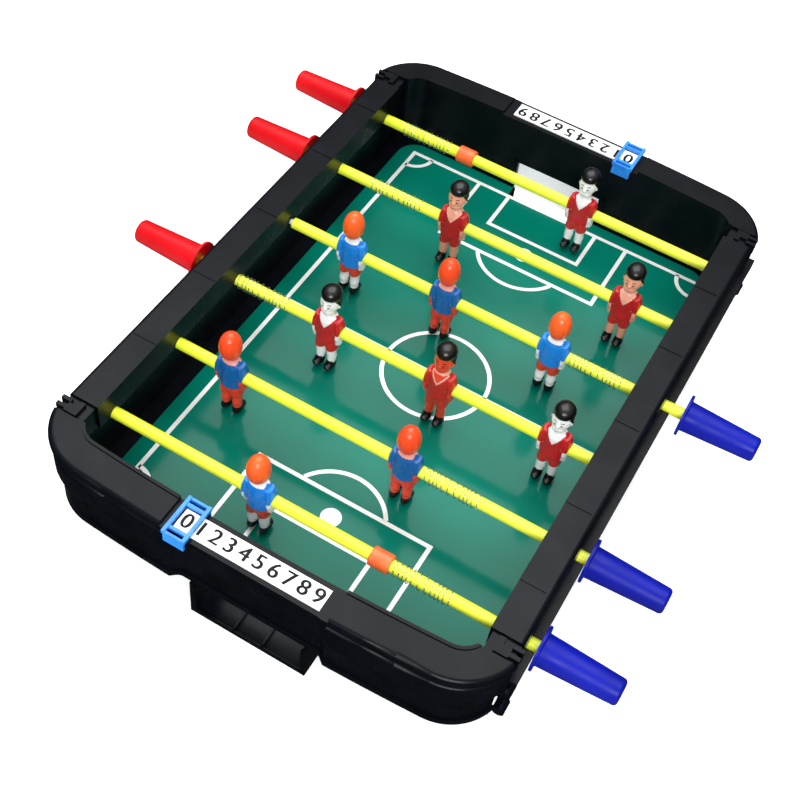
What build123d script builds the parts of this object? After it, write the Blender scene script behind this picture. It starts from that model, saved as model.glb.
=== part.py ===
"""Table-top foosball table: a moulded frame, a printed playing board and six player rods.

Frame: X runs along the rods, Y runs from the near goal to the far goal, Z is up. The origin lies on the
surface that the table stands on, under the centre of the playing board. All sizes are in millimetres.
The near end is the far end turned half a turn about Z, so one builder makes both.
"""

import os
from math import sqrt

from build123d import *

# ---- driving dimensions ---------------------------------------------------------------------------

ROD_PITCH = 52.0                 # distance between neighbouring rods
ROD_Z = 60.0                     # height of the rod axes
RIM_Z = 76.0                     # top of the rim
FRAME_BOTTOM_Z = 24.0            # lower edge of the inner walls
OUTER_BOTTOM_Z = 27.4            # lower edge of the outer walls
BOARD_TOP_Z = 28.5               # playing surface
BOARD_THICKNESS = 1.6
BOARD_HALF_X = 102.0
BOARD_HALF_Y = 155.6
BOARD_CORNER_R = 13.0
BOARD_SHIFT_X = 2.5              # the board lies against the right end of its seat
LEDGE_IN_X = 97.5                # inner edge of the ledge under the board
GAP = 0.3                        # play between neighbouring moulded parts

# side walls and the rails that cover the rods
WALL_IN_X = 108.5                # inner face of the side wall
WALL_OUT_X = 120.0               # outer face of the side wall
LIP_X = 124.0                    # outer edge of the side wall's top flange
SKIN = 2.0                       # wall thickness of the mouldings
FLANGE_T = 2.4
RAIL_IN_X = 103.5
RAIL_OUT_X = 119.7
RAIL_END_Y = 141.0               # where the full-width rail stops
SIDE_END_Y = 151.0               # where the side mouldings meet the end frames

# end frames
END_START_Y = 151.2
PLAN_START_Y = 120.0
END_HALF_X = 122.3
RIM_IN_Y = 160.0                 # inner rim edge at mid-width
RIM_OUT_Y = 177.4                # outer rim edge at mid-width
IN_BOW = 2.8                     # how far the inner edge falls back at IN_BOW_X
IN_BOW_X = 92.0
OUT_BOW = 2.6
OUT_BOW_X = 90.0
IN_CORNER_R = 12.0
OUT_CORNER_R = 32.0
RIM_T = 2.6
LOWER_INSET = 4.0                # how far the lower band stands in from the rim edge
STEP_DEPTH = 4.0                 # how far the middle of the end wall steps in under the score strip
STEP_IN_X = 38.0
STEP_OUT_X = 46.0

# screws
CORNER_SCREW_Y = 144.5
CORNER_SCREW_Z = (34.4, 42.6)
RAIL_SCREW_X = 114.2
RAIL_SCREW_Y = (-90.0, 14.0, 90.0)

# clips outside the corners
CORNER_CLIP_Z = (35.0, 52.0)
CLIP_R = 3.0
CLIP_LENGTH = 3.4

# goals and ball trays
GOAL_HALF_X = 26.8
GOAL_TOP_Z = 45.0
SLOT_Y = 148.6                   # the ball drop slot runs from here to the goal panel
PANEL_T = 0.8
TRAY_HALF_X = 32.3
TRAY_IN_Y = 145.0
TRAY_OUT_Y = 171.6
TRAY_WALL = 1.8
TRAY_SCREW_X = 37.0
TRAY_SCREW_Y = 164.2

# score strips and sliders
RECESS_HALF_X = 43.5
RECESS_DEPTH = 1.6
STRIP_HALF_X = 37.8
STRIP_IN_Y = 162.7
STRIP_OUT_Y = 173.9
STRIP_T = 0.7
DIGIT_PITCH = 2 * STRIP_HALF_X / 10
SLIDER_X = STRIP_HALF_X - DIGIT_PITCH / 2

# rods
TUBE_R = 3.1
TUBE_BORE_R = 1.68
CORE_R = 1.6                     # inner rod, a running fit in the tube
CORE_LENGTH = 172.0
CORE_HEAD_R = 4.4
CORE_HEAD_T = 1.8
ROD_HOLE_R = 3.5
CORE_HOLE_R = 1.9
HANDLE_LENGTH = 40.0
HANDLE_FLANGE_R = 11.0
HANDLE_FLANGE_T = 1.3
HANDLE_BASE_R = 8.0
HANDLE_TIP_R = 6.4
HANDLE_BORE_DEPTH = 26.0
HANDLE_FACE_X = LIP_X + 0.6      # handle flange when the rod is pushed in
SPRING_R = 3.95                  # centre line of the spring wire
SPRING_WIRE_R = 0.3
SPRING_TURNS = 11
COLLAR_R = 4.85

# figures, heights measured from the rod axis
FIGURE_TOP = 29.0
FIGURE_FOOT = -29.2
HEAD_R = 5.2

# every rod: position, handle side, rest pull-out, rest tilt, figure and spring places along X
RODS = {
    1: dict(y=2.5, side=-1, pull=0.0, tilt=0.0, figures=[25.0], spring=(-91.5, -60.0), collar=(-54.7, -44.3)),
    2: dict(y=1.5, side=-1, pull=0.0, tilt=0.0, figures=[-30.4, 75.1], spring=(-83.0, -50.0), collar=None),
    3: dict(y=0.5, side=1, pull=5.8, tilt=0.0, figures=[-65.0, -7.4, 56.7], spring=(66.0, 96.0), collar=None),
    4: dict(y=-0.5, side=-1, pull=1.6, tilt=0.0, figures=[-47.9, 17.9, 82.4], spring=(-103.0, -72.0),
            collar=None),
    5: dict(y=-1.5, side=1, pull=0.0, tilt=0.0, figures=[-72.0, 27.6], spring=(38.0, 68.0), collar=None),
    6: dict(y=-2.5, side=1, pull=0.0, tilt=0.0, figures=[-21.3], spring=(50.8, 81.0), collar=(39.3, 49.7)),
}


# ---- helpers --------------------------------------------------------------------------------------

def slab(x0, x1, y0, y1, z0, z1):
    """Box between two corners."""
    size = Box(abs(x1 - x0), abs(y1 - y0), abs(z1 - z0))
    return Pos((x0 + x1) / 2, (y0 + y1) / 2, (z0 + z1) / 2) * size


def rod_x(x0, x1, radius, y=0.0, z=0.0):
    """Cylinder along X from x0 to x1."""
    turned = Rot(0, 90, 0) * Cylinder(radius, abs(x1 - x0))
    return Pos((x0 + x1) / 2, y, z) * turned


def rod_z(z0, z1, radius, x=0.0, y=0.0):
    """Cylinder along Z from z0 to z1."""
    return Pos(x, y, (z0 + z1) / 2) * Cylinder(radius, abs(z1 - z0))


def save(shape, node):
    export_step(shape, f"parts/{node}.step")


def bowed_outline(half_x, start_y, end_y, bow, bow_x, corner_r):
    """Plan face of a bowed end with round corners, open side on y = start_y."""
    bow_r = (bow_x ** 2 + bow ** 2) / (2 * bow)
    bow_y = end_y - bow_r
    # corner circle: touches the side line and, from inside, the bowed end
    cx = half_x - corner_r
    cy = bow_y + sqrt((bow_r - corner_r) ** 2 - cx ** 2)
    touch = Vector(cx, cy - bow_y).normalized()
    end_x, end_touch_y = touch.X * bow_r, bow_y + touch.Y * bow_r
    middle = (touch + Vector(1, 0)).normalized() * corner_r
    edges = [
        Line((-half_x, start_y), (-half_x, cy)),
        ThreePointArc((-half_x, cy), (-cx - middle.X, cy + middle.Y), (-end_x, end_touch_y)),
        ThreePointArc((-end_x, end_touch_y), (0, end_y), (end_x, end_touch_y)),
        ThreePointArc((end_x, end_touch_y), (cx + middle.X, cy + middle.Y), (half_x, cy)),
        Line((half_x, cy), (half_x, start_y)),
        Line((half_x, start_y), (-half_x, start_y)),
    ]
    return make_face(edges)


def outer_plan(inset):
    """Outer outline of an end frame, moved in by inset. It reaches past the end frame, which is trimmed."""
    return bowed_outline(
        END_HALF_X - inset, PLAN_START_Y, RIM_OUT_Y - inset, OUT_BOW, OUT_BOW_X, OUT_CORNER_R - inset
    )


def inner_plan(grow):
    """Inner outline of an end frame, moved out by grow."""
    return bowed_outline(
        RAIL_IN_X + 0.5 + grow, PLAN_START_Y, RIM_IN_Y + grow, IN_BOW, IN_BOW_X, IN_CORNER_R + grow
    )


def prism(face, z0, z1):
    """Plan face raised from z0 to z1."""
    return Pos(0, 0, z0) * extrude(face, z1 - z0)


# ---- frame ----------------------------------------------------------------------------------------

# layers of the end wall from the rim down: top z, bottom z, inset from the rim edge
WALL_LAYERS = [
    (RIM_Z, 69.6, 0.0),
    (69.6, 67.4, 2.6),
    (67.4, 50.4, 0.7),
    (50.4, 47.8, LOWER_INSET + 0.8),
    (47.8, 31.6, LOWER_INSET),
    (31.6, OUTER_BOTTOM_Z, LOWER_INSET - 1.2),
]


def middle_step(depth, z0, z1):
    """What the score strip's step takes out of the outer face, between two heights."""
    outline = Polyline(
        (-STEP_OUT_X, RIM_OUT_Y + 2), (-STEP_OUT_X, RIM_OUT_Y), (-STEP_IN_X, RIM_OUT_Y - depth),
        (STEP_IN_X, RIM_OUT_Y - depth), (STEP_OUT_X, RIM_OUT_Y), (STEP_OUT_X, RIM_OUT_Y + 2), close=True
    )
    block = prism(make_face(outline), z0, z1)
    bends = block.edges().filter_by(Axis.Z).filter_by(lambda e: abs(e.center().Y - (RIM_OUT_Y - depth)) < 0.1)
    return fillet(bends, 6.0)


def corner_clip(side, y0, y1, z):
    """Half of a clip outside a corner, on the wall on the given side."""
    x = side * (WALL_OUT_X + 0.8)
    return Pos(x, (y0 + y1) / 2, z) * Rot(90, 0, 0) * Cylinder(CLIP_R, abs(y1 - y0))


def end_frame():
    """Far end moulding: rim, outer wall with two beads, inner wall with the goal mouth."""
    below = FRAME_BOTTOM_Z - 1
    outer = None
    for top, bottom, inset in WALL_LAYERS:
        layer = prism(outer_plan(inset), bottom, top)
        if inset in (0.0, 0.7):
            rims = [e for e in layer.edges() if e.center().Y > PLAN_START_Y + 1 and e.length > 12]
            rims = [e for e in rims if min(abs(e.center().Z - top), abs(e.center().Z - bottom)) < 0.01]
            layer = fillet(rims, 3.0 if inset == 0.0 else 2.4)
        depth = inset + STEP_DEPTH if inset > 0 else 1.2
        layer = layer - middle_step(depth, bottom - 1, top + 1)
        outer = layer if outer is None else outer + layer
    body = outer - prism(inner_plan(0.0), below, RIM_Z + 1)
    body = body + (prism(inner_plan(SKIN), FRAME_BOTTOM_Z, 30) - prism(inner_plan(0.0), below, 31))
    hollow = prism(outer_plan(LOWER_INSET + 0.8 + STEP_DEPTH + 1.6), below, RIM_Z - RIM_T)
    hollow = hollow - prism(inner_plan(SKIN), below - 1, RIM_Z)
    body = body - hollow
    # raised lip along the inner rim edge
    lip = prism(inner_plan(1.6), RIM_Z - 0.5, RIM_Z + 0.7)
    body = body + (lip - prism(inner_plan(0.0), RIM_Z - 1, RIM_Z + 2))
    # recess for the score strip
    recess_z = RIM_Z - RECESS_DEPTH
    body = body - slab(-RECESS_HALF_X, RECESS_HALF_X, RIM_IN_Y - 4, RIM_OUT_Y + 4, recess_z, RIM_Z + 4)
    # ledge that carries the board
    ledge_top = BOARD_TOP_Z - BOARD_THICKNESS
    body = body + (prism(inner_plan(0.6), ledge_top - 2, ledge_top) - prism(inner_plan(-6.5), 0, 50))
    # goal mouth, its two jambs and the slots that hold the goal panel
    body = body - slab(-GOAL_HALF_X, GOAL_HALF_X, 140, 163.5, 20, GOAL_TOP_Z)
    for side in (-1, 1):
        body = body + slab(
            side * GOAL_HALF_X, side * (GOAL_HALF_X + 3.4), RIM_IN_Y - 1.8, RIM_IN_Y + 1, BOARD_TOP_Z + 0.3,
            GOAL_TOP_Z + 1
        )
        # back stop for the goal panel's edge
        body = body + slab(
            side * (GOAL_HALF_X - 1.6), side * (GOAL_HALF_X + 1.0), RIM_IN_Y + 0.6 + PANEL_T, RIM_IN_Y + 3.4,
            FRAME_BOTTOM_Z, GOAL_TOP_Z + 1
        )
        # boss for a ball tray screw
        boss = rod_z(FRAME_BOTTOM_Z, RIM_Z - RIM_T + 0.5, 3.0, side * TRAY_SCREW_X, TRAY_SCREW_Y)
        body = body + boss - rod_z(below, 44, 1.3, side * TRAY_SCREW_X, TRAY_SCREW_Y)
        # end wall that closes the hollow beside the side wall
        body = body + slab(
            side * (RAIL_IN_X + SKIN), side * (WALL_OUT_X - 3), END_START_Y, END_START_Y + SKIN,
            FRAME_BOTTOM_Z, RIM_Z - 1
        )
    body = body - slab(-140, 140, 100, END_START_Y, 0, RIM_Z + 5)
    for side in (-1, 1):
        # tab that reaches into the side wall, with its two screw bosses
        tab = slab(side * 110.9, side * 113.4, 137.5, END_START_Y + 1, FRAME_BOTTOM_Z + 0.5, 56)
        for z in CORNER_SCREW_Z:
            tab = tab + rod_x(side * 113.0, side * 117.6, 3.0, CORNER_SCREW_Y, z)
            tab = tab - rod_x(side * 110.0, side * 118.0, 1.25, CORNER_SCREW_Y, z)
        body = body + tab
        # lap behind the rail's corner tongue, so that no light shows through the joint
        body = body + slab(side * 107.4, side * 109.4, 147, END_START_Y + 1, ROD_Z + 2, RIM_Z - 5)
        # halves of the two clips outside the corner
        for z in CORNER_CLIP_Z:
            body = body + corner_clip(side, END_START_Y, END_START_Y + CLIP_LENGTH, z)
    return body


def side_wall():
    """Right-hand side wall: lower halves of the rod bearings, a top flange and the board's ledge."""
    ledge_top = BOARD_TOP_Z - BOARD_THICKNESS
    end = SIDE_END_Y
    wall = slab(WALL_IN_X, WALL_IN_X + SKIN, -end, end, FRAME_BOTTOM_Z, ROD_Z)
    wall = wall + slab(WALL_OUT_X - SKIN, WALL_OUT_X, -end, end, OUTER_BOTTOM_Z, ROD_Z)
    wall = wall + slab(WALL_IN_X, LIP_X, -end, end, ROD_Z - FLANGE_T, ROD_Z)
    wall = wall + slab(WALL_OUT_X - 1, WALL_OUT_X + 1.6, -end, end, OUTER_BOTTOM_Z, OUTER_BOTTOM_Z + 3.4)
    wall = wall + slab(LEDGE_IN_X, WALL_IN_X + 1, -end, end, ledge_top - 2, ledge_top)
    for k in (-2, -1, 0, 1, 2):
        rib_y = k * ROD_PITCH
        wall = wall + slab(WALL_IN_X + 1, WALL_OUT_X - 1, rib_y - 0.8, rib_y + 0.8, 30, ROD_Z - 1)
    for rod in RODS.values():
        y = rod["y"] * ROD_PITCH
        if rod["side"] > 0:
            wall = wall - rod_x(WALL_IN_X - 8, LIP_X + 2, ROD_HOLE_R, y, ROD_Z)
        else:
            wall = wall - rod_x(WALL_IN_X - 8, WALL_IN_X + SKIN + 0.5, CORE_HOLE_R, y, ROD_Z)
            wall = wall - rod_x(WALL_IN_X + SKIN, WALL_OUT_X - SKIN, CORE_HEAD_R + 0.6, y, ROD_Z)
    for y in RAIL_SCREW_Y:
        wall = wall - rod_z(ROD_Z - FLANGE_T - 1, ROD_Z + 1, 1.5, RAIL_SCREW_X, y)
    for side in (-1, 1):
        for z in CORNER_SCREW_Z:
            wall = wall - rod_x(WALL_OUT_X - SKIN - 1, WALL_OUT_X + 1, 1.5, side * CORNER_SCREW_Y, z)
        for z in CORNER_CLIP_Z:
            wall = wall + corner_clip(1, side * (SIDE_END_Y - CLIP_LENGTH), side * SIDE_END_Y, z)
    return wall


CREASE_Y = (-114.0, -66.0, -10.0, 46.0, 96.0)


def side_rail():
    """Right-hand rail cover: channel section with the upper halves of the rod bearings."""
    low = ROD_Z + 0.25
    end = RAIL_END_Y
    top = RIM_Z
    rail = slab(RAIL_IN_X, RAIL_OUT_X, -end, end, low, top)
    top_edges = [e for e in rail.edges() if abs(e.center().Z - top) < 0.01]
    rail = fillet([e for e in top_edges if abs(e.center().X - RAIL_OUT_X) < 0.01], 2.2)
    rail = rail - slab(RAIL_IN_X + SKIN, RAIL_OUT_X - SKIN, -end - 1, end + 1, low - 1, top - SKIN)
    rail = rail + slab(RAIL_IN_X + SKIN - 0.5, RAIL_OUT_X - SKIN + 0.5, -end, -end + SKIN, ROD_Z + 6, top - 1)
    rail = rail + slab(RAIL_IN_X + SKIN - 0.5, RAIL_OUT_X - SKIN + 0.5, end - SKIN, end, ROD_Z + 6, top - 1)
    for side in (-1, 1):
        y0 = side * (end - 1)
        y1 = side * SIDE_END_Y
        # lower tongue that closes the corner, with its raised block
        rail = rail + slab(RAIL_IN_X + 1.5, RAIL_OUT_X - 0.8, y0, y1, top - 4.2, top - 1.6)
        rail = rail + slab(RAIL_OUT_X - 2.8, RAIL_OUT_X - 0.8, y0, y1, low, top - 1.6)
        rail = rail + slab(RAIL_IN_X + 1.5, RAIL_IN_X + 3.5, y0, y1, low, top - 1.6)
        block_x = RAIL_IN_X + 5.5
        block = slab(block_x, block_x + 7, side * (end + 1.4), side * (SIDE_END_Y - 0.6), top - 2, top + 0.3)
        notch = slab(block_x + 2.7, block_x + 8, side * (end + 0.5), side * (end + 4.6), top - 1.3, top + 1)
        rail = rail + (block - notch)
        # two small ribs that hook over the outer edge
        for start in (end + 2.2, end + 6.4):
            rail = rail + slab(
                RAIL_OUT_X - 4, RAIL_OUT_X + 1.4, side * start, side * (start + 2), top - 9, top + 0.2
            )
    # webs that close the bearings above the rods
    for rod in RODS.values():
        y = rod["y"] * ROD_PITCH
        rail = rail + slab(WALL_IN_X, WALL_IN_X + SKIN, y - 8, y + 8, low, top - 1)
        if rod["side"] > 0:
            rail = rail - rod_x(RAIL_IN_X - 1, RAIL_OUT_X + 1, ROD_HOLE_R, y, ROD_Z)
        else:
            rail = rail - rod_x(RAIL_IN_X - 1, WALL_IN_X, ROD_HOLE_R, y, ROD_Z)
            rail = rail - rod_x(WALL_IN_X - 1, WALL_IN_X + SKIN + 1, CORE_HOLE_R, y, ROD_Z)
            rail = rail - rod_x(WALL_IN_X + SKIN, RAIL_OUT_X - SKIN, CORE_HEAD_R + 0.6, y, ROD_Z)
    for y in RAIL_SCREW_Y:
        rail = rail + rod_z(ROD_Z + 2, top - 1, 3.0, RAIL_SCREW_X, y)
        rail = rail - rod_z(ROD_Z, top - 4, 1.25, RAIL_SCREW_X, y)
    # shallow creases across the top
    for y in CREASE_Y:
        rail = rail - slab(RAIL_IN_X - 1, RAIL_OUT_X - 3, y - 0.5, y + 0.5, top - 0.35, top + 1)
    return rail


def playing_board():
    """Printed board with a ball drop slot at each goal."""
    plan = Pos(BOARD_SHIFT_X, 0) * RectangleRounded(2 * BOARD_HALF_X, 2 * BOARD_HALF_Y, BOARD_CORNER_R)
    board = prism(plan, BOARD_TOP_Z - BOARD_THICKNESS, BOARD_TOP_Z)
    for side in (-1, 1):
        board = board - slab(-GOAL_HALF_X + 1, GOAL_HALF_X - 1, side * SLOT_Y, side * 170, 0, 60)
    return board


def goal_panel():
    """White card that closes the goal mouth at the back of the drop slot."""
    y = RIM_IN_Y + 0.5
    return slab(-GOAL_HALF_X + 0.1, GOAL_HALF_X - 0.1, y, y + PANEL_T, FRAME_BOTTOM_Z + 0.5, GOAL_TOP_Z - 0.1)


def ball_tray():
    """Far ball tray and foot: open at the front, with a sloping floor, a sill and two ribs."""
    top = FRAME_BOTTOM_Z
    tray = slab(-TRAY_HALF_X, TRAY_HALF_X, TRAY_IN_Y, TRAY_OUT_Y, 0, top)
    inner = slab(
        -TRAY_HALF_X + TRAY_WALL, TRAY_HALF_X - TRAY_WALL, TRAY_IN_Y + TRAY_WALL, TRAY_OUT_Y + 1, 3.4, top + 1
    )
    floor = Polyline(
        (TRAY_IN_Y + TRAY_WALL, 4.6), (TRAY_OUT_Y - 1.0, 1.9), (TRAY_OUT_Y - 1.0, 12.0),
        (TRAY_IN_Y + TRAY_WALL, 12.0), close=True
    )
    # the outline's first axis is Y and its second is Z
    wedge_plane = Plane(origin=(-TRAY_HALF_X + TRAY_WALL, 0, 0), x_dir=(0, 1, 0), z_dir=(1, 0, 0))
    wedge = extrude(wedge_plane * make_face(floor), 2 * (TRAY_HALF_X - TRAY_WALL))
    tray = tray - inner - wedge
    for x in (-8.0, 8.0):
        tray = tray + slab(x - 0.6, x + 0.6, TRAY_IN_Y + 1, TRAY_OUT_Y - 0.6, 1.2, 5.2)
    # low sill and the two jambs that narrow the front
    for side in (-1, 1):
        tray = tray + slab(
            side * (TRAY_HALF_X - 3.0), side * (TRAY_HALF_X - 1.0), TRAY_OUT_Y - 1.2, TRAY_OUT_Y, 1, top
        )
        # upright that fills the gap under the outer wall
        tray = tray + slab(
            side * (TRAY_HALF_X - TRAY_WALL), side * TRAY_HALF_X, TRAY_OUT_Y - 3, TRAY_OUT_Y, top - 1,
            OUTER_BOTTOM_Z - GAP
        )
        ear = slab(
            side * (TRAY_HALF_X - 0.5), side * (TRAY_SCREW_X + 4), TRAY_SCREW_Y - 4, TRAY_SCREW_Y + 4,
            top - 2.4, top
        )
        tray = tray + ear - rod_z(top - 4, top + 1, 1.5, side * TRAY_SCREW_X, TRAY_SCREW_Y)
    hollow = slab(-TRAY_HALF_X + 4, TRAY_HALF_X - 4, TRAY_IN_Y + 3, TRAY_OUT_Y - 4, -1, 0.9)
    return tray - hollow


def score_strip():
    """Plate that carries the digits."""
    z = RIM_Z - RECESS_DEPTH
    return slab(-STRIP_HALF_X, STRIP_HALF_X, STRIP_IN_Y, STRIP_OUT_Y, z, z + STRIP_T)


def score_slider():
    """Open frame that rides over the strip, with a hook down each edge of the rim."""
    z0 = RIM_Z - RECESS_DEPTH + STRIP_T + 0.3
    z1 = z0 + 2.2
    x = SLIDER_X
    y0 = RIM_IN_Y - 2.4
    y1 = RIM_OUT_Y + 1.6
    frame = slab(x - 6.1, x - 4.4, y0, y1, z0, z1) + slab(x + 4.4, x + 6.1, y0, y1, z0, z1)
    frame = frame + slab(x - 5, x + 5, STRIP_IN_Y - 2.0, STRIP_IN_Y - 0.4, z0, z1 - 0.5)
    frame = frame + slab(x - 5, x + 5, STRIP_OUT_Y + 0.4, STRIP_OUT_Y + 2.0, z0, z1 - 0.5)
    hook_low = RIM_Z - 6.4
    for y, inward in ((y0, 1), (y1, -1)):
        frame = frame + slab(x - 5.4, x + 5.4, y, y + inward * 1.2, hook_low, z1 - 0.6)
    return frame


# ---- rods -----------------------------------------------------------------------------------------

def player(tilt):
    """Player figure about the origin, which lies on the rod axis. It faces -Y."""
    torso = slab(-5.6, 5.6, -4.2, 4.2, -8, 9.6)
    torso = fillet(torso.edges().filter_by(Axis.Z), 2.6)
    torso = fillet(torso.faces().sort_by(Axis.Z)[-1].edges(), 2.0)
    shorts = Pos(0, 0, -10.6) * Box(11.6, 8.6, 7.6)
    shorts = fillet(shorts.edges().filter_by(Axis.Z), 2.4)
    figure = torso + shorts
    for side in (-1, 1):
        arm = Pos(side * 5.5, 0, 0) * Cylinder(2.1, 14.5)
        arm = fillet(arm.edges(), 1.2)
        leg = Pos(side * 3.0, 0, -20) * Cylinder(2.3, 15)
        boot = slab(side * 3.0 - 2.4, side * 3.0 + 2.4, -4.6, 3.0, FIGURE_FOOT, FIGURE_FOOT + 4.4)
        boot = fillet(boot.edges().filter_by(Axis.Z), 1.8)
        figure = figure + arm + leg + boot
    figure = figure + rod_z(8.5, 14, 3.0)
    half_height = (FIGURE_TOP - 10.6) / 2
    half_oval = Ellipse(HEAD_R, half_height) & Pos(HEAD_R, 0) * Rectangle(2 * HEAD_R, 4 * half_height)
    head = revolve(Plane.XZ * half_oval, Axis.Z)
    figure = figure + Pos(0, 0, FIGURE_TOP - half_height) * head
    figure = figure - rod_x(-12, 12, TUBE_R)
    return Rot(tilt, 0, 0) * figure


def tube_ends(rod):
    """Free end and handle end of a rod's tube at rest."""
    side = rod["side"]
    free = -side * (WALL_IN_X - 0.5) + side * rod["pull"]
    grip = side * (HANDLE_FACE_X + HANDLE_BORE_DEPTH - 0.5 + rod["pull"])
    return free, grip


def rod_tube(rod, y):
    free, grip = tube_ends(rod)
    return rod_x(free, grip, TUBE_R, y, ROD_Z) - rod_x(free, grip, TUBE_BORE_R, y, ROD_Z)


def rod_core(rod, y):
    """Inner rod: its head sits inside the wall opposite the handle."""
    side = -rod["side"]
    head_x = side * (WALL_IN_X + SKIN + 1.2)
    core = rod_x(head_x, head_x + side * CORE_HEAD_T, CORE_HEAD_R, y, ROD_Z)
    return core + rod_x(head_x, head_x - side * CORE_LENGTH, CORE_R, y, ROD_Z)


def rod_handle(rod, y):
    """Tapered grip with a thin flange, made along Z and then laid along the rod."""
    length = HANDLE_LENGTH
    profile = Polyline(
        (0, 0), (HANDLE_FLANGE_R, 0), (HANDLE_FLANGE_R, HANDLE_FLANGE_T), (HANDLE_BASE_R, HANDLE_FLANGE_T),
        (HANDLE_TIP_R, length), (0, length), close=True
    )
    grip = revolve(Plane.XZ * make_face(profile), Axis.Z)
    tip = [e for e in grip.edges() if e.center().Z > length - 0.01 and e.length > 10]
    grip = fillet(tip, 2.0)
    root = [e for e in grip.edges() if abs(e.center().Z - HANDLE_FLANGE_T) < 0.01 and 40 < e.length < 55]
    grip = fillet(root, 0.8)
    grip = grip - rod_z(-1, HANDLE_BORE_DEPTH, TUBE_R)
    side = rod["side"]
    return Pos(side * (HANDLE_FACE_X + rod["pull"]), y, ROD_Z) * Rot(0, side * 90, 0) * grip


def rod_spring(rod, y):
    """Coil spring, loose on the tube."""
    x0, x1 = rod["spring"]
    length = x1 - x0 - 2 * SPRING_WIRE_R
    path = Helix(length / SPRING_TURNS, length, SPRING_R)
    start = path @ 0
    section = Plane(origin=start, z_dir=path % 0) * Circle(SPRING_WIRE_R)
    coil = sweep(section, path)
    return Pos(x0 + SPRING_WIRE_R, y, ROD_Z) * Rot(0, 90, 0) * coil


def rod_collar(rod, y):
    """Stop collar beside the goalkeeper's spring."""
    x0, x1 = rod["collar"]
    collar = rod_x(x0, x1, COLLAR_R, y, ROD_Z)
    collar = fillet(collar.edges(), 0.6)
    return collar - rod_x(x0 - 1, x1 + 1, TUBE_R, y, ROD_Z)


# ---- screws ---------------------------------------------------------------------------------------

def screw(shank_r, length, head_r, head_t):
    """Pan-head screw along Z: the head's underside is at z = 0 and the shank points up."""
    body = rod_z(0, length, shank_r) + rod_z(-head_t, 0, head_r)
    body = body - slab(-head_r * 0.7, head_r * 0.7, -0.3, 0.3, -head_t - 1, -head_t + 0.7)
    return body - slab(-0.3, 0.3, -head_r * 0.7, head_r * 0.7, -head_t - 1, -head_t + 0.7)


def corner_screws():
    """Eight screws that hold the side walls to the end frames."""
    one = screw(1.25, 8.6, 2.7, 1.5)
    screws = []
    for side in (-1, 1):
        for y in (-CORNER_SCREW_Y, CORNER_SCREW_Y):
            for z in CORNER_SCREW_Z:
                screws.append(Pos(side * WALL_OUT_X, y, z) * Rot(0, -side * 90, 0) * one)
    return Compound(screws)


def rail_screws():
    """Six screws that hold the rails down, from under the side walls' top flanges."""
    one = screw(1.25, 11.0, 2.8, 1.6)
    screws = []
    for side in (-1, 1):
        for y in RAIL_SCREW_Y:
            screws.append(Pos(side * RAIL_SCREW_X, side * y, ROD_Z - FLANGE_T) * one)
    return Compound(screws)


def tray_screws():
    """Four screws that hold the ball trays under the end frames."""
    one = screw(1.3, 16.0, 2.8, 1.6)
    screws = []
    for x in (-TRAY_SCREW_X, TRAY_SCREW_X):
        for y in (-TRAY_SCREW_Y, TRAY_SCREW_Y):
            screws.append(Pos(x, y, FRAME_BOTTOM_Z - 2.4) * one)
    return Compound(screws)


# ---- assembly -------------------------------------------------------------------------------------

HALF_TURN = Rot(0, 0, 180)


def main():
    os.makedirs("parts", exist_ok=True)
    for name, make in (
        ("end_frame", end_frame), ("goal_panel", goal_panel), ("ball_tray", ball_tray),
        ("score_strip", score_strip), ("score_slider", score_slider)
    ):
        far = make()
        save(far, f"{name}_far")
        save(HALF_TURN * far, f"{name}_near")
    for name, make in (("side_wall", side_wall), ("side_rail", side_rail)):
        right = make()
        save(right, f"{name}_right")
        save(HALF_TURN * right, f"{name}_left")
    save(playing_board(), "playing_board")
    save(corner_screws(), "corner_screws")
    save(rail_screws(), "rail_screws")
    save(tray_screws(), "tray_screws")
    for n, rod in RODS.items():
        y = rod["y"] * ROD_PITCH
        save(rod_core(rod, y), f"rod_{n}_core")
        save(rod_tube(rod, y), f"rod_{n}_tube")
        save(rod_handle(rod, y), f"rod_{n}_handle")
        save(rod_spring(rod, y), f"rod_{n}_spring")
        if rod["collar"]:
            save(rod_collar(rod, y), f"rod_{n}_collar")
        # the team with its handles on the left faces the near goal
        turn = Rot(0, 0, 0 if rod["side"] < 0 else 180)
        figure = turn * player(rod["tilt"])
        for k, x in enumerate(rod["figures"], 1):
            save(Pos(x, y, ROD_Z) * figure, f"rod_{n}_figure_{k}")


main()
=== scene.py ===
"""Looks of the table-top foosball table: materials, figures, springs, markings, digits, light and camera.

Lengths are metres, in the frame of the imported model: X along the rods, Y towards the far goal, Z up.
"""

import math

import bmesh
import bpy
from mathutils import Matrix, Vector


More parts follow.
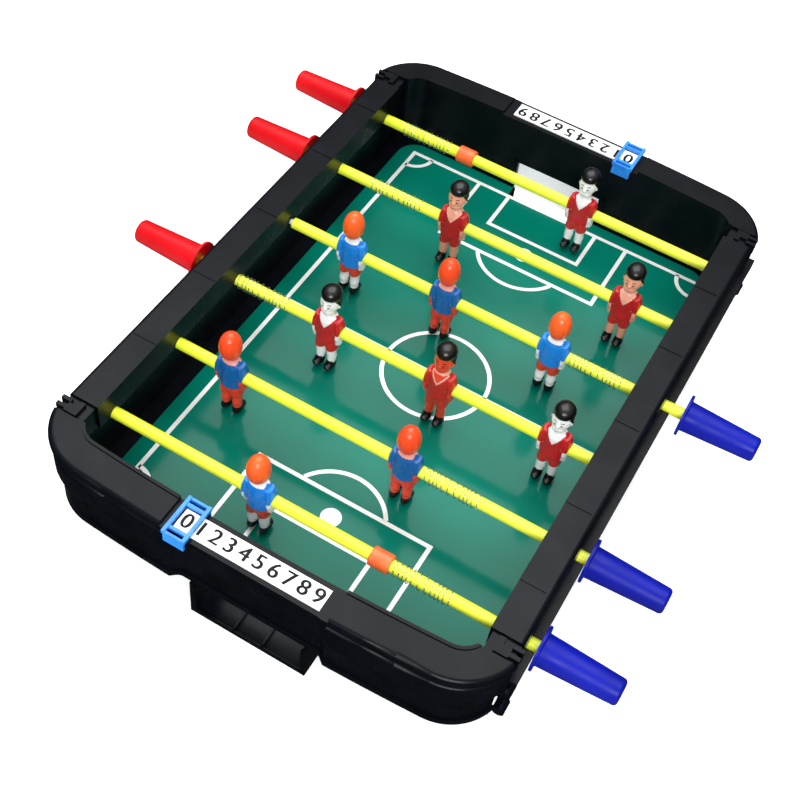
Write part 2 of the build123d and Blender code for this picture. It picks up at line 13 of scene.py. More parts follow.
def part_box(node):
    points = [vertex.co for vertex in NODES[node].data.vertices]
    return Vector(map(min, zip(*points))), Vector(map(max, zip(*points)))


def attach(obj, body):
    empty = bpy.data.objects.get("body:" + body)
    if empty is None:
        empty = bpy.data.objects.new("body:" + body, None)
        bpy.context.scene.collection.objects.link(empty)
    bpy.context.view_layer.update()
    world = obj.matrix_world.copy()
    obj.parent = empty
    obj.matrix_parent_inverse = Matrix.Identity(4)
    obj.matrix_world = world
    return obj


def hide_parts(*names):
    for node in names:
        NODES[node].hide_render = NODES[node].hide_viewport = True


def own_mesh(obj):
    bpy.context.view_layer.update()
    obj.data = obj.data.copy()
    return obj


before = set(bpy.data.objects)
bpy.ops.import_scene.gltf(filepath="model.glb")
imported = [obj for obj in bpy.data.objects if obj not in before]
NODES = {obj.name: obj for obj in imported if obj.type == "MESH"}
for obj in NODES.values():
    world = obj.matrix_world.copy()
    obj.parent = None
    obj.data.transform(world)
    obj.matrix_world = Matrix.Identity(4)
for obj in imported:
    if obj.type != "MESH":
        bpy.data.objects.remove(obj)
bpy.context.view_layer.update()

MM = 0.001

BOARD_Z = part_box("playing_board")[1][2]
ROD_COUNT = 6
RED_RODS = (1, 2, 4)


# ---- mesh helpers ---------------------------------------------------------------------------------

def new_object(name, mesh):
    obj = bpy.data.objects.new(name, mesh)
    bpy.context.scene.collection.objects.link(obj)
    return obj


def mesh_object(name, verts, faces, smooth=False):
    mesh = bpy.data.meshes.new(name)
    mesh.from_pydata(verts, [], faces)
    mesh.update()
    for face in mesh.polygons:
        face.use_smooth = smooth
    return new_object(name, mesh)


def add_material(obj, *materials):
    obj.data.materials.clear()
    for material in materials:
        obj.data.materials.append(material)


def rod_center(n):
    """Y and Z of a rod's axis."""
    low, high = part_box(f"rod_{n}_tube")
    return (low[1] + high[1]) / 2, (low[2] + high[2]) / 2


# ---- materials ------------------------------------------------------------------------------------

NOISE_LOW, NOISE_HIGH = 0.3, 0.7     # the span of a noise texture's values that is used


class Shader:
    """A Principled material with small helpers for procedural detail."""

    def __init__(self, name, color, roughness, **sockets):
        self.material = bpy.data.materials.new(name)
        self.material.use_nodes = True
        self.tree = self.material.node_tree
        self.bsdf = self.tree.nodes["Principled BSDF"]
        self.bsdf.inputs["Base Color"].default_value = (*color, 1)
        self.bsdf.inputs["Roughness"].default_value = roughness
        for label, value in sockets.items():
            self.bsdf.inputs[label.replace("_", " ")].default_value = value
        self.coords = self.tree.nodes.new("ShaderNodeTexCoord")
        self.normal = None

    def link(self, a, b):
        self.tree.links.new(a, b)

    def stretched(self, scale):
        mapping = self.tree.nodes.new("ShaderNodeMapping")
        mapping.inputs["Scale"].default_value = scale
        self.link(self.coords.outputs["Object"], mapping.inputs["Vector"])
        return mapping.outputs["Vector"]

    def noise(self, scale, detail, stretch=(1, 1, 1)):
        node = self.tree.nodes.new("ShaderNodeTexNoise")
        node.inputs["Scale"].default_value = scale
        node.inputs["Detail"].default_value = detail
        self.link(self.stretched(stretch), node.inputs["Vector"])
        return node.outputs["Fac"]

    def vary_roughness(self, value, low, high):
        node = self.tree.nodes.new("ShaderNodeMapRange")
        node.inputs["From Min"].default_value = NOISE_LOW
        node.inputs["From Max"].default_value = NOISE_HIGH
        node.inputs["To Min"].default_value = low
        node.inputs["To Max"].default_value = high
        self.link(value, node.inputs["Value"])
        self.link(node.outputs["Result"], self.bsdf.inputs["Roughness"])

    def vary_color(self, value, dark, light):
        ramp = self.tree.nodes.new("ShaderNodeValToRGB")
        ramp.color_ramp.elements[0].position = NOISE_LOW
        ramp.color_ramp.elements[0].color = (*dark, 1)
        ramp.color_ramp.elements[1].position = NOISE_HIGH
        ramp.color_ramp.elements[1].color = (*light, 1)
        self.link(value, ramp.inputs["Fac"])
        self.link(ramp.outputs["Color"], self.bsdf.inputs["Base Color"])

    def bump(self, value, distance, strength):
        node = self.tree.nodes.new("ShaderNodeBump")
        node.inputs["Distance"].default_value = distance
        node.inputs["Strength"].default_value = strength
        self.link(value, node.inputs["Height"])
        if self.normal is not None:
            self.link(self.normal, node.inputs["Normal"])
        self.normal = node.outputs["Normal"]
        self.link(self.normal, self.bsdf.inputs["Normal"])


def moulded_black():
    s = Shader("moulded_black", (0.005, 0.006, 0.008), 0.3, Specular_IOR_Level=0.13)
    s.vary_color(s.noise(60, 4), (0.0012, 0.0020, 0.0034), (0.0030, 0.0042, 0.0068))
    s.vary_roughness(s.noise(45, 5), 0.22, 0.36)
    s.bump(s.noise(28, 2), 0.00022, 0.5)
    s.bump(s.noise(2600, 2), 0.00003, 0.5)
    return s.material


def tube_yellow():
    s = Shader("tube_yellow", (0.80, 0.93, 0.03), 0.34, Subsurface_Weight=0.15, Subsurface_Scale=0.002)
    s.vary_color(s.noise(30, 3, (0.2, 1, 1)), (0.80, 0.92, 0.03), (0.90, 0.99, 0.07))
    s.vary_roughness(s.noise(300, 4, (0.05, 1, 1)), 0.26, 0.42)
    s.bump(s.noise(900, 3, (0.03, 1, 1)), 0.00003, 0.4)
    return s.material


def grip(name, dark, light):
    s = Shader(name, light, 0.4, Specular_IOR_Level=0.18)
    s.vary_color(s.noise(55, 4, (0.4, 1, 1)), dark, light)
    s.vary_roughness(s.noise(120, 5), 0.32, 0.5)
    s.bump(s.noise(170, 5, (0.25, 1, 1)), 0.00012, 0.45)
    s.bump(s.noise(1900, 2), 0.00003, 0.5)
    return s.material


def board_green():
    s = Shader("board_green", (0.0, 0.150, 0.100), 0.14, Specular_IOR_Level=0.15)
    s.vary_color(s.noise(9, 3), (0.0, 0.130, 0.088), (0.001, 0.170, 0.118))
    s.vary_roughness(s.noise(40, 5), 0.09, 0.18)
    s.bump(s.noise(7, 2), 0.0005, 0.3)
    s.bump(s.noise(240, 3), 0.00002, 0.35)
    return s.material


def printed_white():
    s = Shader("printed_white", (0.86, 0.87, 0.86), 0.14, Coat_Weight=0.4, Coat_Roughness=0.06)
    s.vary_color(s.noise(120, 3), (0.80, 0.82, 0.81), (0.90, 0.91, 0.90))
    s.vary_roughness(s.noise(60, 4), 0.10, 0.2)
    s.bump(s.noise(500, 2), 0.00001, 0.4)
    return s.material


def simple(name, dark, light, rough, **sockets):
    """Painted or moulded finish with mild mottling."""
    s = Shader(name, light, rough[0], **sockets)
    s.vary_color(s.noise(150, 4), dark, light)
    s.vary_roughness(s.noise(90, 4), *rough)
    s.bump(s.noise(900, 3), 0.00002, 0.5)
    return s.material


def figure_paint():
    """Toy paint: the colour zones are stored on the figure's vertices."""
    s = Shader(
        "figure_paint", (0.6, 0.1, 0.1), 0.3, Specular_IOR_Level=0.35, Coat_Weight=0.15, Coat_Roughness=0.12
    )
    paint = s.tree.nodes.new("ShaderNodeVertexColor")
    paint.layer_name = "paint"
    mix = s.tree.nodes.new("ShaderNodeMix")
    mix.data_type = "RGBA"
    mix.blend_type = "MULTIPLY"
    mix.inputs["Factor"].default_value = 1.0
    s.link(paint.outputs["Color"], mix.inputs["A"])
    ramp = s.tree.nodes.new("ShaderNodeValToRGB")
    ramp.color_ramp.elements[0].color = (0.93, 0.93, 0.93, 1)
    ramp.color_ramp.elements[1].color = (1, 1, 1, 1)
    s.link(s.noise(700, 4), ramp.inputs["Fac"])
    s.link(ramp.outputs["Color"], mix.inputs["B"])
    s.link(mix.outputs["Result"], s.bsdf.inputs["Base Color"])
    s.vary_roughness(s.noise(260, 4), 0.22, 0.42)
    s.bump(s.noise(650, 3), 0.00008, 0.5)
    return s.material


BLACK = moulded_black()
YELLOW = tube_yellow()
RED_GRIP = grip("grip_red", (0.50, 0.001, 0.004), (0.70, 0.004, 0.010))
BLUE_GRIP = grip("grip_blue", (0.0, 0.003, 0.20), (0.0, 0.006, 0.34))
GREEN = board_green()
WHITE_PRINT = printed_white()
# goal panel card: its faint white emission is painted light, keeping the card evenly bright where the rim
# above would shade it
GLOWING_CARD = simple(
    "white_card", (0.82, 0.83, 0.86), (0.90, 0.91, 0.94), (0.35, 0.5), Emission_Color=(0.9, 0.92, 1.0, 1.0),
    Emission_Strength=0.4
)
INK = simple("black_ink", (0.004, 0.004, 0.005), (0.009, 0.009, 0.010), (0.3, 0.45), Specular_IOR_Level=0.1)
SLIDER_BLUE = simple(
    "slider_blue", (0.012, 0.20, 0.80), (0.03, 0.29, 0.92), (0.25, 0.4), Subsurface_Weight=0.1,
    Subsurface_Scale=0.001
)
ORANGE = simple(
    "collar_orange", (0.86, 0.11, 0.02), (0.98, 0.18, 0.04), (0.3, 0.45), Subsurface_Weight=0.15,
    Subsurface_Scale=0.001
)
WHITE_ROD = simple("white_rod", (0.70, 0.70, 0.74), (0.82, 0.82, 0.85), (0.25, 0.4))
STEEL = simple("spring_steel", (0.58, 0.57, 0.52), (0.76, 0.75, 0.70), (0.22, 0.4), Metallic=1.0)
SCREW_STEEL = simple("screw_steel", (0.05, 0.05, 0.055), (0.10, 0.10, 0.11), (0.35, 0.5), Metallic=1.0)
PAINT = figure_paint()


def dress_cad_nodes():
    """Gives every CAD node that stays visible its finish."""
    finishes = {
        "end_frame": BLACK, "side_wall": BLACK, "side_rail": BLACK, "ball_tray": BLACK,
        "playing_board": GREEN, "goal_panel": GLOWING_CARD, "score_strip": WHITE_PRINT, "score_slider": SLIDER_BLUE,
        "corner_screws": SCREW_STEEL, "rail_screws": SCREW_STEEL, "tray_screws": SCREW_STEEL,
    }
    for name, obj in NODES.items():
        for start, material in finishes.items():
            if name.startswith(start):
                add_material(obj, material)
    for n in range(1, ROD_COUNT + 1):
        add_material(NODES[f"rod_{n}_tube"], YELLOW)
        add_material(NODES[f"rod_{n}_core"], WHITE_ROD)
        add_material(NODES[f"rod_{n}_handle"], RED_GRIP if n in RED_RODS else BLUE_GRIP)
        if f"rod_{n}_collar" in NODES:
            add_material(NODES[f"rod_{n}_collar"], ORANGE)


# ---- board markings -------------------------------------------------------------------------------

LINE_W = 2.3 * MM
LINE_T = 0.06 * MM
BORDER_X = 95.0 * MM
EDGE_X = 98.2 * MM                   # the right-hand line runs close under the rail
BORDER_Y = 146.0 * MM
CORNER_ARC_R = 12.3 * MM
CENTRE_R = 29.2 * MM
AREA_HALF = 49.2 * MM
AREA_DEPTH = 50.9 * MM
GOAL_AREA_HALF = 29.0 * MM
GOAL_AREA_DEPTH = 27.6 * MM
SPOT_Y = BORDER_Y - 38.9 * MM
SPOT_R = 5.4 * MM
ARC_R = 27.0 * MM
PRINT_SHIFT = (4.8 * MM, 1.2 * MM)   # the print sits a little off the board's middle
MITRE_LIMIT = 0.3                    # keeps the corner of a ribbon from running away
DISC_STEPS = 40


def ribbon(points, closed=False):
    """Thin raised strip along plan points: vertices and faces."""
    count = len(points)
    verts, faces = [], []
    for i, point in enumerate(points):
        here = Vector(point)
        before = Vector(points[i - 1]) if closed or i > 0 else None
        after = Vector(points[(i + 1) % count]) if closed or i < count - 1 else None
        run_in = (here - before).normalized() if before else (after - here).normalized()
        run_out = (after - here).normalized() if after else run_in
        across = (Vector((-run_in.y, run_in.x)) + Vector((-run_out.y, run_out.x))).normalized()
        reach = LINE_W / 2 / max(MITRE_LIMIT, across.dot(Vector((-run_in.y, run_in.x))))
        for z in (BOARD_Z, BOARD_Z + LINE_T):
            for sign in (1, -1):
                spot = here + across * reach * sign
                verts.append((spot.x, spot.y, z))
    last = count if closed else count - 1
    for i in range(last):
        a, b = 4 * i, 4 * ((i + 1) % count)
        for p, q in ((0, 1), (1, 3), (3, 2), (2, 0)):
            faces.append((a + p, b + p, b + q, a + q))
    if not closed:
        end = 4 * (count - 1)
        faces.append((0, 1, 3, 2))
        faces.append((end + 1, end, end + 2, end + 3))
    return verts, faces


def arc(cx, cy, radius, start, stop, steps):
    angles = [math.radians(start + (stop - start) * k / steps) for k in range(steps + 1)]
    return [(cx + radius * math.cos(a), cy + radius * math.sin(a)) for a in angles]


def disc(cx, cy, radius):
    steps = DISC_STEPS
    ring = arc(cx, cy, radius, 0, 360, steps)[:-1]
    verts = [(x, y, BOARD_Z) for x, y in ring] + [(x, y, BOARD_Z + LINE_T) for x, y in ring]
    faces = [tuple(range(steps, 2 * steps)), tuple(reversed(range(steps)))]
    for i in range(steps):
        j = (i + 1) % steps
        faces.append((i, j, steps + j, steps + i))
    return verts, faces


def board_markings():
    """All white lines of the pitch as one printed layer."""
    parts = [
        ribbon(
            [(-BORDER_X, -BORDER_Y), (EDGE_X, -BORDER_Y), (EDGE_X, BORDER_Y), (-BORDER_X, BORDER_Y)], True
        ),
        ribbon([(-BORDER_X + LINE_W / 2, 0), (BORDER_X - LINE_W / 2, 0)]),
        ribbon(arc(0, 0, CENTRE_R, 0, 360, 96)[:-1], True),
        disc(0, 0, SPOT_R),
    ]
    for end in (-1, 1):
        goal_y = end * (BORDER_Y - LINE_W / 2)
        for half, depth in ((AREA_HALF, AREA_DEPTH), (GOAL_AREA_HALF, GOAL_AREA_DEPTH)):
            front = end * (BORDER_Y - depth)
            parts.append(ribbon([(-half, goal_y), (-half, front), (half, front), (half, goal_y)]))
        parts.append(disc(0, end * SPOT_Y, SPOT_R))
        front = BORDER_Y - AREA_DEPTH - LINE_W / 2
        half_angle = math.degrees(math.acos((SPOT_Y - front) / ARC_R))
        middle = -90 if end > 0 else 90
        parts.append(ribbon(arc(0, end * SPOT_Y, ARC_R, middle - half_angle, middle + half_angle, 48)))
        for side in (-1, 1):
            start = {(1, 1): 180, (-1, 1): 270, (-1, -1): 0, (1, -1): 90}[(side, end)]
            parts.append(ribbon(arc(side * BORDER_X, end * BORDER_Y, CORNER_ARC_R, start, start + 90, 20)))
    verts, faces = [], []
    for part_verts, part_faces in parts:
        base = len(verts)
        verts += part_verts
        faces += [tuple(base + i for i in face) for face in part_faces]
    shifted = [(x + PRINT_SHIFT[0], y + PRINT_SHIFT[1], z) for x, y, z in verts]
    obj = mesh_object("board_markings", shifted, faces)
    add_material(obj, WHITE_PRINT)
    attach(obj, "frame")


# ---- score digits ---------------------------------------------------------------------------------

DIGIT_COUNT = 10
DIGIT_SIZE = 10.8 * MM
DIGIT_BOLD = 0.24 * MM               # sideways step between the copies of a digit
DIGIT_HALF_T = 0.03 * MM
DIGIT_COPY_RISE = 0.004 * MM
WELD_DISTANCE = 0.001 * MM


def score_digits(end):
    """The digits 0 to 9 on one strip. The far strip reads from the far side."""
    side = "near" if end < 0 else "far"
    low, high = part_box(f"score_strip_{side}")
    pitch = (high[0] - low[0]) / DIGIT_COUNT
    middle_y = (low[1] + high[1]) / 2
    turn = Matrix.Rotation(math.pi if end > 0 else 0.0, 4, "Z")
    parts = []
    for digit in range(DIGIT_COUNT):
        text = bpy.data.curves.new(f"digit_{side}_{digit}", "FONT")
        text.body = str(digit)
        text.size = DIGIT_SIZE
        text.align_x = "CENTER"
        text.align_y = "CENTER"
        text.extrude = DIGIT_HALF_T
        text.resolution_u = 6
        holder = new_object(text.name, text)
        along = -(high[0] - low[0]) / 2 + pitch * (digit + 0.5)
        evaluated = holder.evaluated_get(bpy.context.evaluated_depsgraph_get())
        # three thin copies a little apart make the strokes bold
        for copy, shift in enumerate((-DIGIT_BOLD, 0.0, DIGIT_BOLD)):
            mesh = bpy.data.meshes.new_from_object(evaluated)
            lift = high[2] + DIGIT_HALF_T + DIGIT_COPY_RISE * copy
            mesh.transform(Matrix.Translation((-end * along + shift, middle_y, lift)) @ turn)
            parts.append(mesh)
        bpy.data.objects.remove(holder)
    joined = bmesh.new()
    for mesh in parts:
        joined.from_mesh(mesh)
    bmesh.ops.remove_doubles(joined, verts=joined.verts, dist=WELD_DISTANCE)
    mesh = bpy.data.meshes.new(f"score_digits_{side}")
    joined.to_mesh(mesh)
    joined.free()
    obj = new_object(f"score_digits_{side}", mesh)
    add_material(obj, INK)
    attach(obj, "frame")


# ---- springs --------------------------------------------------------------------------------------

SPRING_R = 3.95 * MM
WIRE_R = 0.22 * MM
TURNS = 11.5
STEPS_PER_TURN = 28
WIRE_SIDES = 8
QUARTER_WAVE = 0.0225
MIDDLE_WAVE = 0.02


def coil_spring(n):
    """Helical spring around the rod, carried with the rod's inner body."""
    low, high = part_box(f"rod_{n}_spring")
    y, z = rod_center(n)
    ring = WIRE_SIDES
    total = int(TURNS * STEPS_PER_TURN)
    x0, x1 = low[0] + WIRE_R, high[0] - WIRE_R
    verts, faces = [], []
    for i in range(total + 1):
        share = i / total
        # the turns lie widest apart in the middle and closest a quarter in from each end
        wave = QUARTER_WAVE * math.sin(4 * math.pi * share) - MIDDLE_WAVE * math.sin(2 * math.pi * share)
        eased = share + wave
        x = x0 + (x1 - x0) * eased
        angle = 2 * math.pi * TURNS * share
        out = Vector((0, math.cos(angle), math.sin(angle)))
        for k in range(ring):
            a = 2 * math.pi * k / ring
            spot = Vector((x + WIRE_R * math.sin(a), y, z)) + out * (SPRING_R + WIRE_R * math.cos(a))
            verts.append(tuple(spot))
    for i in range(total):
        for k in range(ring):
            a, b = i * ring + k, i * ring + (k + 1) % ring
            faces.append((a, b, b + ring, a + ring))
    faces.append(tuple(range(ring)))
    faces.append(tuple(reversed(range(total * ring, total * ring + ring))))
    obj = mesh_object(f"spring_{n}", verts, faces, smooth=True)
    add_material(obj, STEEL)
    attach(obj, f"rod_{n}_inner")
    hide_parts(f"rod_{n}_spring")
    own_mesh(obj)


# ---- player figures -------------------------------------------------------------------------------

def hex_color(value):
    """sRGB hex to linear colour."""
    parts = [int(value[i:i + 2], 16) / 255 for i in (0, 2, 4)]
    return tuple(p / 12.92 if p <= 0.04045 else ((p + 0.055) / 1.055) ** 2.4 for p in parts) + (1.0,)


BOOT = hex_color("0c0c0e")
EYE = hex_color("2a1c18")
FLESH = hex_color("f0a68c")
WHITE_BASE = hex_color("fbfbfd")
RED_BASE = hex_color("e2462e")

# paint of each kit, as sRGB hex or one of the colours above
KITS = {
    "white_black": dict(
        hair="0c0c0e", skin=WHITE_BASE, collar="f4f4f8", shirt="c01f24", shorts="c62822", legs=WHITE_BASE
    ),
    "flesh_black": dict(
        hair="0c0c0e", skin=FLESH, collar="f6b8a4", shirt="b81c20", shorts="bc201e", legs=FLESH
    ),
    "red_black": dict(
        hair="100c0a", skin=RED_BASE, collar="f0b4a0", shirt="c22822", shorts="c83828", legs=RED_BASE
    ),
    "white_orange": dict(
        hair="ff6428", skin=WHITE_BASE, collar="f8f8fa", shirt="1c84e4", shorts="d4442a", legs=WHITE_BASE
    ),
    "red_orange": dict(
        hair="fa4c22", skin=RED_BASE, collar="f0a296", shirt="1860a8", shorts="da3a24", legs=RED_BASE
    ),
}
CAST = {
    (1, 1): "white_black", (2, 1): "flesh_black", (2, 2): "flesh_black", (3, 1): "white_orange",
    (3, 2): "red_orange", (3, 3): "white_orange", (4, 1): "white_black", (4, 2): "red_black",
    (4, 3): "white_black", (5, 1): "red_orange", (5, 2): "red_orange", (6, 1): "white_orange",
}
VOXEL = 0.42 * MM
BLOB_SEGMENTS = 24
LIMB_SEGMENTS = 20


def blob(bm, center, radii):
    """Ellipsoid in millimetres about the rod axis."""
    matrix = Matrix.Translation(Vector(center) * MM) @ Matrix.Diagonal((*(r * MM for r in radii), 1))
    bmesh.ops.create_uvsphere(
        bm, u_segments=BLOB_SEGMENTS, v_segments=BLOB_SEGMENTS // 2, radius=1.0, matrix=matrix
    )


def limb(bm, rings):
    """Closed tube through rings of (x, y, z, rx, ry), in millimetres."""
    segments = LIMB_SEGMENTS
    loops = []
    for x, y, z, rx, ry in rings:
        loop = []
        for k in range(segments):
            a = 2 * math.pi * k / segments
            loop.append(bm.verts.new(((x + rx * math.cos(a)) * MM, (y + ry * math.sin(a)) * MM, z * MM)))
        loops.append(loop)
    for lower, upper in zip(loops, loops[1:]):
        for k in range(segments):
            j = (k + 1) % segments
            bm.faces.new((lower[k], lower[j], upper[j], upper[k]))
    bm.faces.new(list(reversed(loops[0])))
    bm.faces.new(loops[-1])


def figure_form(cap):
    """Body of a figure that faces -Y, as overlapping closed forms. cap: tall egg-shaped hair."""
    bm = bmesh.new()
    # shirt, flaring to its hem, and the shoulders
    limb(bm, [(0, 0, -8.6, 6.1, 4.8), (0, 0, -7.6, 6.5, 5.2), (0, 0, -3, 6.0, 4.9), (0, 0, 3, 6.3, 5.1),
              (0, 0, 7.0, 6.5, 4.8), (0, 0, 9.6, 4.9, 3.8), (0, 0, 10.8, 3.2, 3.0)])
    # shorts: two flared legs and a seat
    limb(bm, [(0, 0, -11.6, 5.6, 4.6), (0, 0, -7.5, 6.0, 4.8)])
    for side in (-1, 1):
        limb(bm, [(side * 3.2, 0, -15.0, 3.2, 4.2), (side * 3.1, 0, -14.3, 3.35, 4.4),
                  (side * 2.9, 0, -9, 3.2, 4.3)])
        # leg: knee, calf and ankle
        limb(bm, [(side * 3.3, -0.2, -27.0, 1.95, 2.2), (side * 3.3, -0.1, -25.0, 2.1, 2.4),
                  (side * 3.3, 0.3, -21.5, 2.65, 2.9), (side * 3.2, -0.3, -17.8, 2.5, 2.8),
                  (side * 3.2, 0, -13.5, 2.8, 3.2)])
        # boot with heel and toe
        limb(bm, [(side * 3.4, -0.9, -29.1, 2.6, 4.5), (side * 3.4, -0.8, -27.7, 2.7, 4.6),
                  (side * 3.35, -0.3, -26.6, 2.5, 3.6), (side * 3.3, 0.1, -24.4, 2.3, 2.6)])
        blob(bm, (side * 3.4, -3.6, -27.8), (2.4, 2.4, 1.4))
        # arm at the side: sleeve, forearm and hand
        limb(bm, [(side * 6.9, 0, -9.4, 1.3, 1.9), (side * 7.0, -0.1, -7.4, 1.7, 2.3),
                  (side * 6.9, 0, -4.6, 1.7, 3.5), (side * 6.8, 0, -3.4, 1.8, 4.1),
                  (side * 6.8, 0, 0.4, 2.0, 4.3), (side * 6.6, 0, 4.2, 2.1, 4.1),
                  (side * 5.6, 0, 8.4, 1.9, 3.0)])
    # neck, head, jaw, nose and ears
    limb(bm, [(0, 0.2, 8.5, 3.3, 3.1), (0, 0.2, 13.5, 3.0, 3.0)])
    blob(bm, (0, 0.2, 19.4), (5.2, 5.6, 6.4))
    blob(bm, (0, -1.3, 15.2), (3.9, 4.1, 3.4))
    blob(bm, (0, -5.4, 18.2), (0.8, 0.9, 1.3))
    for side in (-1, 1):
        blob(bm, (side * 5.1, 0.6, 18.2), (0.7, 1.1, 1.6))
    if cap:
        blob(bm, (0, 1.0, 20.6), (5.8, 6.2, 9.0))
    else:
        blob(bm, (0, 0.9, 24.3), (5.4, 6.0, 4.6))
        blob(bm, (0, 2.0, 20.0), (5.2, 5.0, 5.6))
    return bm


def head_zone(x, y, z, kit, cap):
    """Paint on the head: hair cap, ears, eyes, brows and mouth."""
    if cap:
        hairline = 12.4 + 11.4 * max(0.0, min(1.0, (2.2 - y) / 5.8))
    else:
        hairline = 15.5 + 8.2 * max(0.0, min(1.0, (2.2 - y) / 5.2))
    if z > hairline and (y > -4.6 or z > 22.8):
        return kit["hair"]
    if y < -2.6:
        across = abs(x)
        if (across - 1.75) ** 2 / 0.42 + (z - 19.4) ** 2 / 0.20 < 1:
            return EYE
        if abs(across - 1.8) < 0.85 and abs(z - 20.9 - 0.15 * across) < 0.22:
            return kit["brow"]
        if across < 1.15 and abs(z - 14.9) < 0.24:
            return kit["mouth"]
    return kit["skin"]


def body_zone(x, y, z, kit):
    """Paint on the collar, shirt, shorts, arms, legs and boots."""
    across = abs(x)
    if z < -24.8 or (z < -24.0 and y < -1.5):
        return BOOT
    if across > 6.0 and z < 0.2 and z > -11:
        return kit["skin"]
    if z < -14.2:
        return kit["legs"]
    if z < -8.0:
        return kit["shorts"]
    if z > 10.2:
        return kit["collar"] if z < 11.8 else kit["skin"]
    if y < -1.0 and across < 0.72 * (z - 3.2) and z > 3.2:
        return kit["skin"] if across < 0.72 * (z - 3.2) - 1.15 else kit["collar"]
    return kit["collar"] if z > 9.2 and across < 4.0 else kit["shirt"]


def prepared_kit(name):
    kit = {key: hex_color(value) if isinstance(value, str) else value for key, value in KITS[name].items()}
    kit["brow"] = kit["hair"] if name != "white_orange" else hex_color("b06a50")
    skin = kit["skin"]
    kit["mouth"] = (skin[0] * 0.62, skin[1] * 0.34, skin[2] * 0.34, 1.0)
    return kit


def sculpted_mesh(kit_name):
    """Remeshed and smoothed figure about the origin with its paint on the vertices."""
    cap = kit_name.endswith("orange")
    bm = figure_form(cap)
    mesh = bpy.data.meshes.new(f"form_{kit_name}")
    bm.to_mesh(mesh)
    bm.free()
    obj = new_object(f"form_{kit_name}", mesh)
    remesh = obj.modifiers.new("remesh", "REMESH")
    remesh.mode = "VOXEL"
    remesh.voxel_size = VOXEL
    relax = obj.modifiers.new("relax", "SMOOTH")
    relax.factor = 0.5
    relax.iterations = 3
    final = bpy.data.meshes.new_from_object(obj.evaluated_get(bpy.context.evaluated_depsgraph_get()))
    bpy.data.objects.remove(obj)
    kit = prepared_kit(kit_name)
    paint = final.color_attributes.new("paint", "FLOAT_COLOR", "POINT")
    for i, vertex in enumerate(final.vertices):
        x, y, z = (c / MM for c in vertex.co)
        paint.data[i].color = head_zone(x, y, z, kit, cap) if z > 12.2 else body_zone(x, y, z, kit)
    for face in final.polygons:
        face.use_smooth = True
    return final


def figures():
    forms = {name: sculpted_mesh(name) for name in KITS}
    for (n, k), kit_name in CAST.items():
        node = f"rod_{n}_figure_{k}"
        low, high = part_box(node)
        y, z = rod_center(n)
        mesh = forms[kit_name].copy()
        turn = Matrix.Rotation(0.0 if n in RED_RODS else math.pi, 4, "Z")
        mesh.transform(Matrix.Translation(((low[0] + high[0]) / 2, y, z)) @ turn)
        obj = new_object(f"player_{n}_{k}", mesh)
        add_material(obj, PAINT)
        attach(obj, f"rod_{n}_outer")
        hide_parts(node)


# ---- stage, light and camera ----------------------------------------------------------------------

FLOOR_HALF = 3.0
SKY_DARK_TO = 0.18                   # height on the sky's dome, 0 at the horizon and 1 overhead
SKY_WHITE_FROM = 0.80
BACKDROP = (1.4, 1.4, 1.4, 1)
SKY_STRENGTH = 0.75


def stage():
    """White floor that mirror reflections don't see."""
    corners = [(x * FLOOR_HALF, y * FLOOR_HALF, 0) for x, y in ((-1, -1), (1, -1), (1, 1), (-1, 1))]
    floor = mesh_object("floor", corners, [(0, 1, 2, 3)])
    s = Shader("floor_white", (0.9, 0.9, 0.9), 0.6, Emission_Color=(1, 1, 1, 1), Emission_Strength=0.45)
    s.vary_roughness(s.noise(3, 2), 0.55, 0.7)
    add_material(floor, s.material)
    floor.visible_glossy = False


def area_light(name, location, target, size, power):
    lamp = bpy.data.lights.new(name, "AREA")
    lamp.shape = "RECTANGLE"
    lamp.size, lamp.size_y = size
    lamp.energy = power
    obj = new_object(name, lamp)
    obj.location = location
    obj.rotation_euler = (Vector(target) - Vector(location)).to_track_quat("-Z", "Y").to_euler()


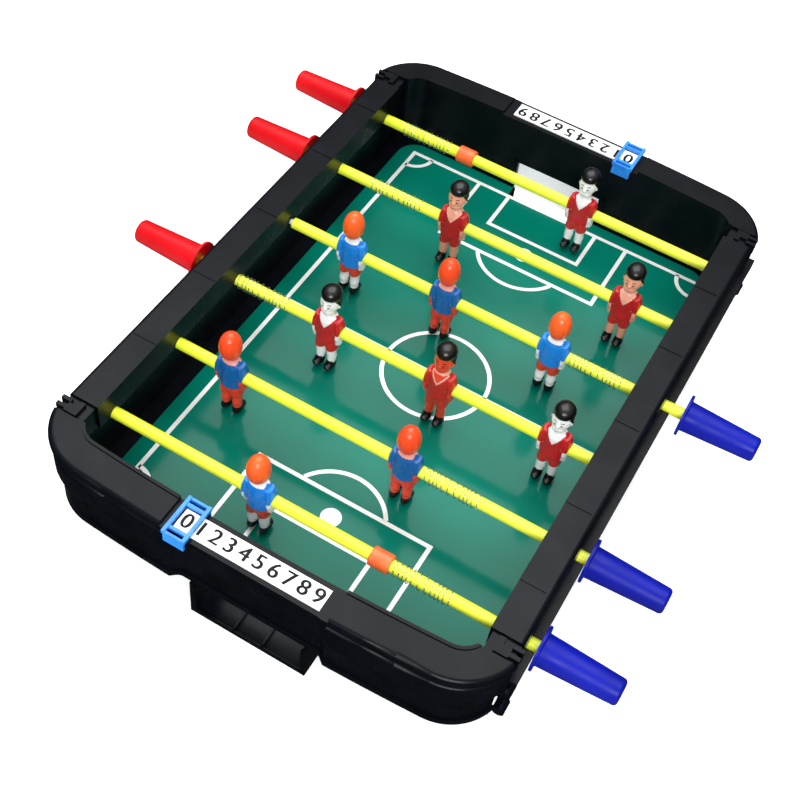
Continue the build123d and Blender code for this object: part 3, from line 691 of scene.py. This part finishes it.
def sky():
    """White overhead that falls off to dark near the horizon, and plain white to the camera."""
    world = bpy.data.worlds.new("studio")
    bpy.context.scene.world = world
    world.use_nodes = True
    tree = world.node_tree
    coords = tree.nodes.new("ShaderNodeTexCoord")
    split = tree.nodes.new("ShaderNodeSeparateXYZ")
    ramp = tree.nodes.new("ShaderNodeValToRGB")
    ramp.color_ramp.elements[0].position = SKY_DARK_TO
    ramp.color_ramp.elements[0].color = (0.03, 0.03, 0.032, 1)
    ramp.color_ramp.elements[1].position = SKY_WHITE_FROM
    ramp.color_ramp.elements[1].color = (1.0, 1.0, 1.0, 1)
    tree.links.new(coords.outputs["Generated"], split.inputs["Vector"])
    tree.links.new(split.outputs["Z"], ramp.inputs["Fac"])
    # the backdrop behind the floor is plain white
    path = tree.nodes.new("ShaderNodeLightPath")
    mix = tree.nodes.new("ShaderNodeMix")
    mix.data_type = "RGBA"
    mix.inputs["B"].default_value = BACKDROP
    tree.links.new(path.outputs["Is Camera Ray"], mix.inputs["Factor"])
    tree.links.new(ramp.outputs["Color"], mix.inputs["A"])
    tree.links.new(mix.outputs["Result"], tree.nodes["Background"].inputs["Color"])
    tree.nodes["Background"].inputs["Strength"].default_value = SKY_STRENGTH


def lights():
    sky()
    area_light("overhead", (-0.25, 0.35, 1.6), (0, 0, 0.03), (1.6, 1.6), 30)
    area_light("front", (0.5, -1.3, 1.0), (0, 0, 0.03), (0.9, 0.5), 20)
    bpy.context.scene.view_settings.view_transform = "Standard"


CAMERA_AZIMUTH = 22.25
CAMERA_ELEVATION = 52.54
CAMERA_ROLL = 9.44
CAMERA_PLACE = (0.15114, -0.40037, 0.55871)
CAMERA_LENS = 57.13


def camera():
    az, el, roll = (math.radians(v) for v in (CAMERA_AZIMUTH, CAMERA_ELEVATION, CAMERA_ROLL))
    forward = Vector((-math.sin(az) * math.cos(el), math.cos(az) * math.cos(el), -math.sin(el)))
    right = Vector((math.cos(az), math.sin(az), 0))
    up = right.cross(forward)
    right_rolled = right * math.cos(roll) + up * math.sin(roll)
    up_rolled = up * math.cos(roll) - right * math.sin(roll)
    data = bpy.data.cameras.new("camera")
    data.sensor_width = 36.0
    data.lens = CAMERA_LENS
    data.clip_start = 0.01
    obj = new_object("camera", data)
    turn = Matrix((right_rolled, up_rolled, -forward)).transposed().to_4x4()
    obj.matrix_world = Matrix.Translation(CAMERA_PLACE) @ turn
    bpy.context.scene.camera = obj


camera()
stage()
lights()
dress_cad_nodes()
board_markings()
score_digits(-1)
score_digits(1)
for rod in range(1, ROD_COUNT + 1):
    coil_spring(rod)
figures()
